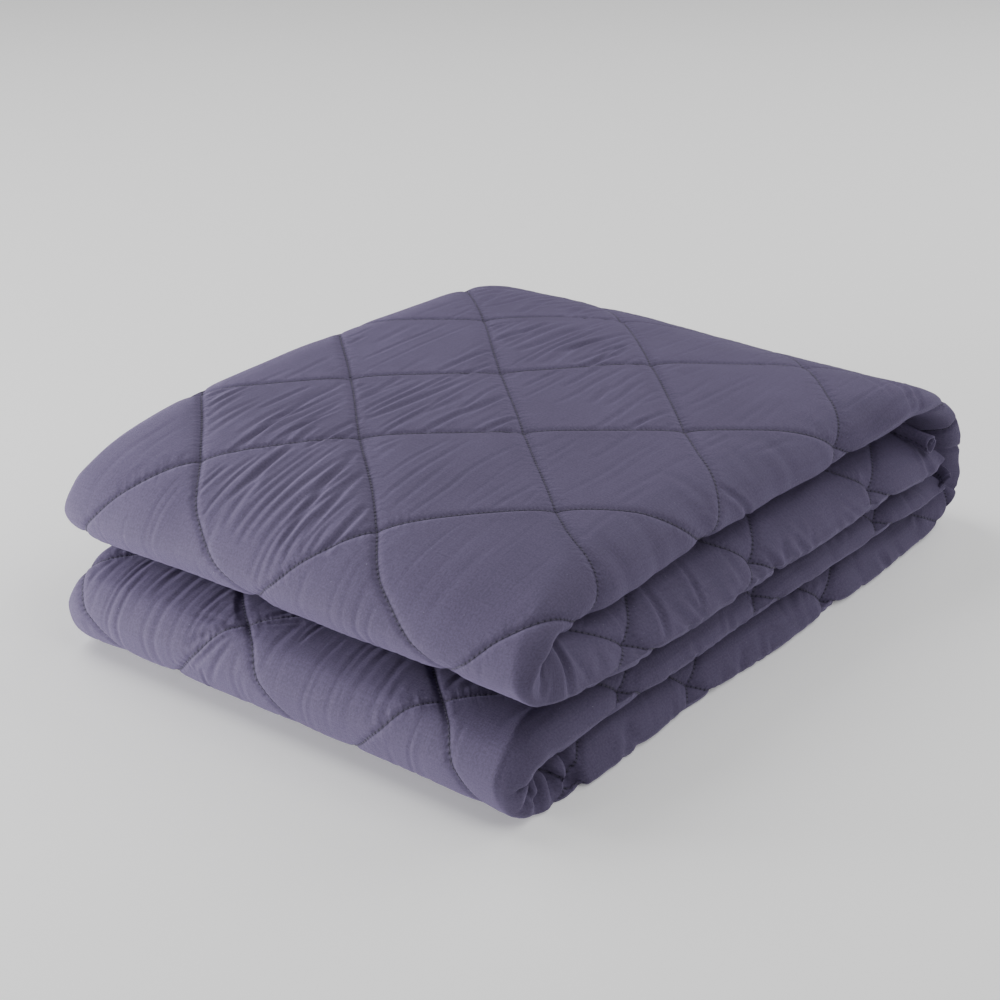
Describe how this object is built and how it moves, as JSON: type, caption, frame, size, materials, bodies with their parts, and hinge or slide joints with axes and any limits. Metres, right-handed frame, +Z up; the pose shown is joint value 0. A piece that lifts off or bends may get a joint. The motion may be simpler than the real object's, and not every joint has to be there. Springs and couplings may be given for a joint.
{
  "type": "weighted blanket",
  "caption": "Diamond-quilted weighted blanket, folded into a thick block with soft rounded folds at the front and a spine at the back.",
  "frame": {"origin": "middle of the folded block's underside, at the centre of its bounding box, on the surface it rests on", "axes": "+Z up through the folded layers; -Y towards the two round folds at the front and +Y towards the spine; +X towards the end where the closed folds of the plies show"},
  "size_m": [0.3922, 0.5148, 0.1387],
  "materials": {
    "quilted_cotton": "matt close-woven cotton, grey purple"
  },
  "bodies": {
    "root": {"quilted_blanket": "quilted_cotton"}
  },
  "joints": []
}
